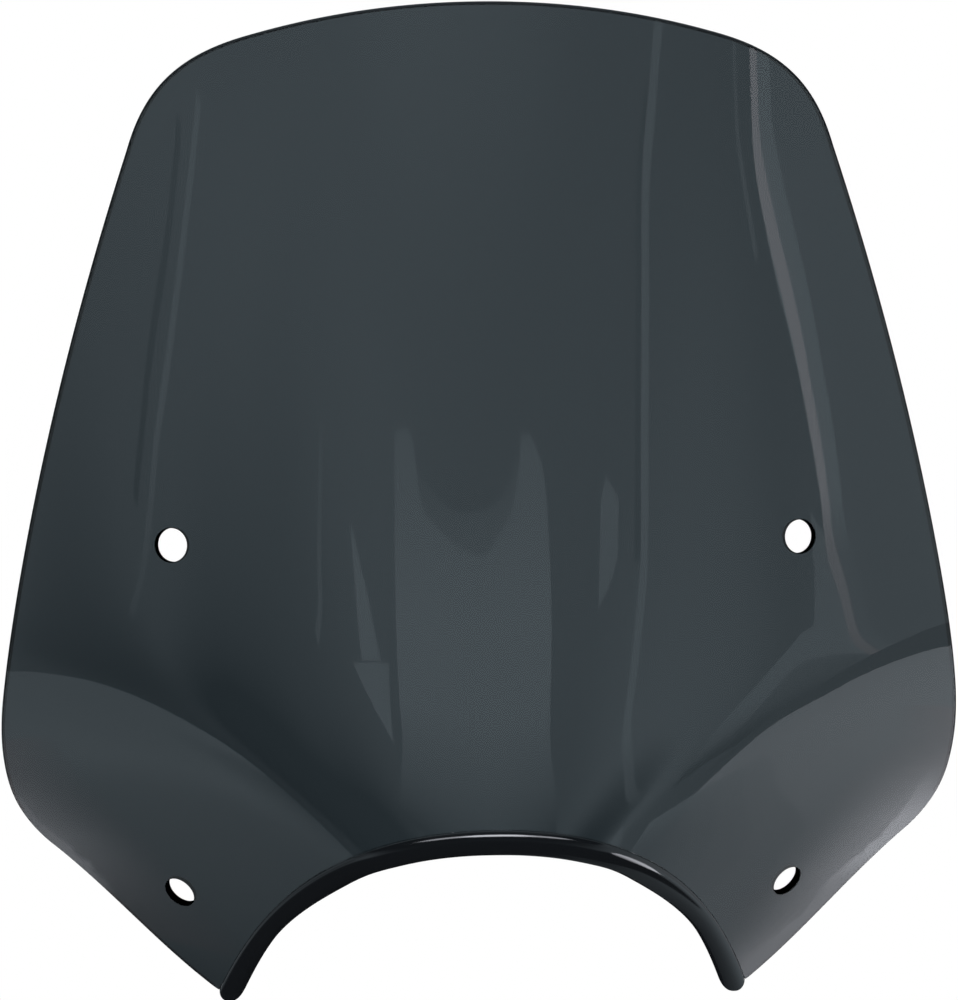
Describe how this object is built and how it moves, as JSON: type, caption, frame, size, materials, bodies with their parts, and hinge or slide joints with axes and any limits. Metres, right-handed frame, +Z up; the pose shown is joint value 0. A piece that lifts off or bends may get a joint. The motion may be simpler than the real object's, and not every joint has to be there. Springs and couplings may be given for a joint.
{
  "type": "motorcycle windshield screen",
  "caption": "Dark smoke-tinted motorcycle windshield screen, bent sheet with swept-back lower wings, an arched headlight opening with a rolled lip, and round mounting holes.",
  "frame": {"origin": "centre of the four mounting holes' front rims, on the plane of symmetry", "axes": "+X to the right of someone facing the screen's front, -Y out of the front, towards oncoming air, +Z up the screen"},
  "size_m": [0.4708, 0.1311, 0.4801],
  "materials": {
    "smoke_tint": "polished",
    "lip_black": "polished"
  },
  "bodies": {
    "root": {"screen_sheet": "smoke_tint", "headlight_lip": "lip_black"}
  },
  "joints": []
}
